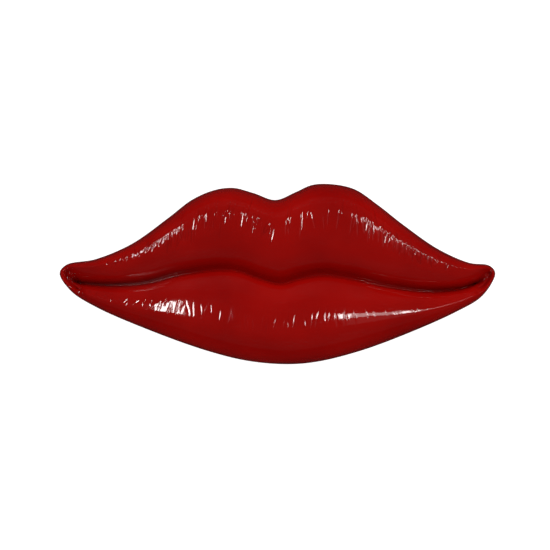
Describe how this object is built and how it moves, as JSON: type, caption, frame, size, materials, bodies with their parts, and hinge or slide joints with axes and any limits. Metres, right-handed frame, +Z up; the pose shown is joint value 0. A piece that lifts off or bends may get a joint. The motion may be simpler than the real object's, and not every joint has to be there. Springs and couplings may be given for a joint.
{
  "type": "novelty shaped telephone",
  "caption": "One-piece desk telephone moulded as glossy red closed lips, with its keypad, earpiece, mouthpiece and hook plunger on the flat underside.",
  "frame": {"origin": "on the table under the middle of the object's outline", "axes": "+X from the earpiece end to the mouthpiece end, +Y from the lower lip to the upper lip, +Z up from the table, with the lips facing up"},
  "size_m": [0.2158, 0.0893, 0.059],
  "materials": {
    "red_case": "high-gloss dark red moulded plastic",
    "black_trim": "satin black moulded plastic",
    "ivory_keys": "ivory moulded plastic, satin",
    "black_rubber": "matt black rubber",
    "grey_silicone": "translucent grey silicone rubber",
    "circuit_board": "green lacquered board",
    "yellow_tape": "yellow insulating tape",
    "black_parts": "black moulded plastic",
    "jack_plastic": "dark moulded connector plastic",
    "steel_parts": "plated steel",
    "grey_foam": "soft closed-cell foam"
  },
  "bodies": {
    "case": {"upper_shell": "red_case", "lower_shell": "red_case", "keypad_bezel": "black_trim", "line_jack": "jack_plastic", "rubber_foot_1": "black_rubber", "rubber_foot_2": "black_rubber", "rubber_foot_3": "black_rubber", "rubber_foot_4": "black_rubber", "case_screw_1": "steel_parts", "case_screw_2": "steel_parts", "case_screw_3": "steel_parts", "case_screw_4": "steel_parts", "ballast_screw_1": "steel_parts", "ballast_screw_2": "steel_parts", "keypad_board_screw_1": "steel_parts", "keypad_board_screw_2": "steel_parts", "keypad_board_screw_3": "steel_parts", "keypad_board_screw_4": "steel_parts", "main_board_screw_1": "steel_parts", "main_board_screw_2": "steel_parts", "main_board_screw_3": "steel_parts", "retainer_screw_1": "steel_parts", "retainer_screw_2": "steel_parts", "keypad_membrane": "grey_silicone", "keypad_board": "circuit_board", "main_board": "circuit_board", "line_transformer": "yellow_tape", "dialler_chip": "black_parts", "ringer_buzzer": "black_parts", "filter_capacitor": "black_parts", "hook_spring": "steel_parts", "hook_switch": "black_parts", "earpiece_speaker": "steel_parts", "earpiece_gasket": "grey_foam", "earpiece_retainer": "black_parts", "microphone_boot": "black_rubber", "microphone_capsule": "steel_parts", "ballast_weight": "steel_parts", "ringer_switch_body": "black_parts", "tone_pulse_switch_body": "black_parts"},
    "key_1": {"key_1": "ivory_keys"},
    "key_2": {"key_2": "ivory_keys"},
    "key_3": {"key_3": "ivory_keys"},
    "key_4": {"key_4": "ivory_keys"},
    "key_5": {"key_5": "ivory_keys"},
    "key_6": {"key_6": "ivory_keys"},
    "key_7": {"key_7": "ivory_keys"},
    "key_8": {"key_8": "ivory_keys"},
    "key_9": {"key_9": "ivory_keys"},
    "key_star": {"key_star": "ivory_keys"},
    "key_0": {"key_0": "ivory_keys"},
    "key_hash": {"key_hash": "ivory_keys"},
    "redial_key": {"redial_key": "ivory_keys"},
    "flash_key": {"flash_key": "ivory_keys"},
    "hook_plunger": {"hook_plunger": "ivory_keys"},
    "ringer_switch_knob": {"ringer_switch_knob": "black_trim"},
    "tone_pulse_switch_knob": {"tone_pulse_switch_knob": "black_trim"}
  },
  "joints": [
    {"name": "key_1_press", "type": "slide", "parent": "case", "child": "key_1", "axis": [0, 0, 1], "range_m": [0, 0.0014], "stiffness_N_per_m": 300, "springref_m": -0.0007},
    {"name": "key_2_press", "type": "slide", "parent": "case", "child": "key_2", "axis": [0, 0, 1], "range_m": [0, 0.0014], "stiffness_N_per_m": 300, "springref_m": -0.0007},
    {"name": "key_3_press", "type": "slide", "parent": "case", "child": "key_3", "axis": [0, 0, 1], "range_m": [0, 0.0014], "stiffness_N_per_m": 300, "springref_m": -0.0007},
    {"name": "key_4_press", "type": "slide", "parent": "case", "child": "key_4", "axis": [0, 0, 1], "range_m": [0, 0.0014], "stiffness_N_per_m": 300, "springref_m": -0.0007},
    {"name": "key_5_press", "type": "slide", "parent": "case", "child": "key_5", "axis": [0, 0, 1], "range_m": [0, 0.0014], "stiffness_N_per_m": 300, "springref_m": -0.0007},
    {"name": "key_6_press", "type": "slide", "parent": "case", "child": "key_6", "axis": [0, 0, 1], "range_m": [0, 0.0014], "stiffness_N_per_m": 300, "springref_m": -0.0007},
    {"name": "key_7_press", "type": "slide", "parent": "case", "child": "key_7", "axis": [0, 0, 1], "range_m": [0, 0.0014], "stiffness_N_per_m": 300, "springref_m": -0.0007},
    {"name": "key_8_press", "type": "slide", "parent": "case", "child": "key_8", "axis": [0, 0, 1], "range_m": [0, 0.0014], "stiffness_N_per_m": 300, "springref_m": -0.0007},
    {"name": "key_9_press", "type": "slide", "parent": "case", "child": "key_9", "axis": [0, 0, 1], "range_m": [0, 0.0014], "stiffness_N_per_m": 300, "springref_m": -0.0007},
    {"name": "key_star_press", "type": "slide", "parent": "case", "child": "key_star", "axis": [0, 0, 1], "range_m": [0, 0.0014], "stiffness_N_per_m": 300, "springref_m": -0.0007},
    {"name": "key_0_press", "type": "slide", "parent": "case", "child": "key_0", "axis": [0, 0, 1], "range_m": [0, 0.0014], "stiffness_N_per_m": 300, "springref_m": -0.0007},
    {"name": "key_hash_press", "type": "slide", "parent": "case", "child": "key_hash", "axis": [0, 0, 1], "range_m": [0, 0.0014], "stiffness_N_per_m": 300, "springref_m": -0.0007},
    {"name": "redial_key_press", "type": "slide", "parent": "case", "child": "redial_key", "axis": [0, 0, 1], "range_m": [0, 0.0014], "stiffness_N_per_m": 300, "springref_m": -0.0007},
    {"name": "flash_key_press", "type": "slide", "parent": "case", "child": "flash_key", "axis": [0, 0, 1], "range_m": [0, 0.0014], "stiffness_N_per_m": 300, "springref_m": -0.0007},
    {"name": "hook_plunger_travel", "type": "slide", "parent": "case", "child": "hook_plunger", "axis": [0, 0, -1], "range_m": [0, 0.004], "stiffness_N_per_m": 100, "springref_m": 0.005, "deforming": ["hook_spring"]},
    {"name": "ringer_switch_slide", "type": "slide", "parent": "case", "child": "ringer_switch_knob", "axis": [1, 0, 0], "range_m": [0, 0.004]},
    {"name": "tone_pulse_switch_slide", "type": "slide", "parent": "case", "child": "tone_pulse_switch_knob", "axis": [1, 0, 0], "range_m": [0, 0.004]}
  ]
}
